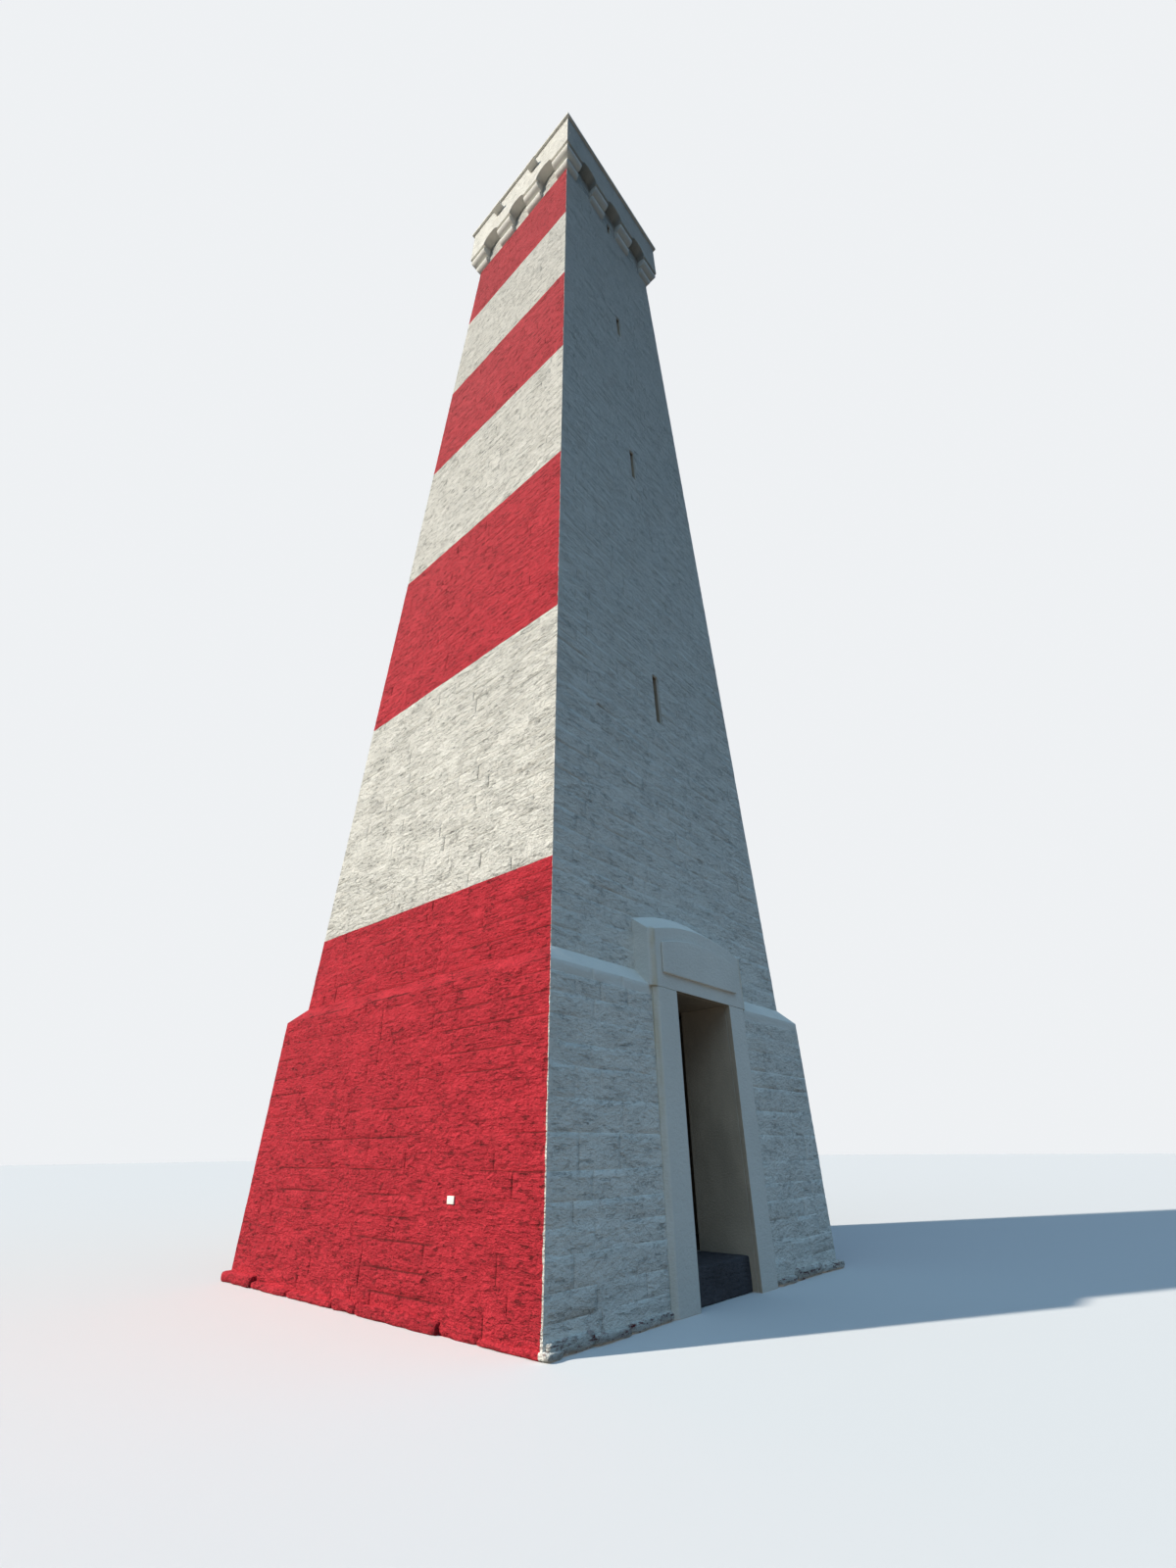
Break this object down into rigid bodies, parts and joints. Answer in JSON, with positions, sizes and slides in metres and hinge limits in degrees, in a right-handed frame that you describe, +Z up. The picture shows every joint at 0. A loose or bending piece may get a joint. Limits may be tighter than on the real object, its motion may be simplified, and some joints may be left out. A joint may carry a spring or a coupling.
{
  "type": "banded daymark tower",
  "caption": "Tall square tapering masonry beacon with painted bands, a doorcase, slits, corbels and an arched parapet.",
  "frame": {"origin": "middle of the foot, at ground level", "axes": "+Z up, -Y out of the doorway, -X out of the left banded side"},
  "size_m": [4.75, 4.75, 25.6],
  "materials": {
    "white_painted_stone": "matt masonry paint over rubble stone",
    "red_painted_stone": "matt masonry paint over rubble stone",
    "dark_stone": "worn slate",
    "grey_stone": "bare stone"
  },
  "bodies": {
    "root": {"footing_course": "red_painted_stone", "ground_floor": "grey_stone", "door_step": "dark_stone", "plinth_side_walls": "red_painted_stone", "plinth_back_wall": "red_painted_stone", "plinth_front_left_wall": "white_painted_stone", "plinth_front_right_wall": "white_painted_stone", "plinth_over_door_wall": "white_painted_stone", "set_off_sides": "red_painted_stone", "set_off_back": "red_painted_stone", "set_off_front": "white_painted_stone", "doorcase_left_jamb": "white_painted_stone", "doorcase_right_jamb": "white_painted_stone", "doorcase_head": "white_painted_stone", "doorcase_plate": "white_painted_stone", "side_walls_red_1": "red_painted_stone", "side_walls_white_1": "white_painted_stone", "side_walls_red_2": "red_painted_stone", "side_walls_white_2": "white_painted_stone", "side_walls_red_3": "red_painted_stone", "side_walls_white_3": "white_painted_stone", "side_walls_red_4": "red_painted_stone", "side_walls_crown": "white_painted_stone", "back_wall_red_1": "red_painted_stone", "back_wall_white_1": "white_painted_stone", "back_wall_red_2": "red_painted_stone", "back_wall_white_2": "white_painted_stone", "back_wall_red_3": "red_painted_stone", "back_wall_white_3": "white_painted_stone", "back_wall_red_4": "red_painted_stone", "back_wall_crown": "white_painted_stone", "front_wall_lower": "white_painted_stone", "front_wall_middle": "white_painted_stone", "front_wall_upper": "white_painted_stone", "front_wall_crown": "white_painted_stone", "lower_corbels": "white_painted_stone", "upper_corbels": "white_painted_stone", "parapet_front": "white_painted_stone", "parapet_left": "white_painted_stone", "parapet_back": "white_painted_stone", "parapet_right": "white_painted_stone", "coping_front_back": "white_painted_stone", "coping_left_right": "white_painted_stone", "parapet_lugs": "white_painted_stone", "roof_slab": "grey_stone"}
  },
  "joints": []
}
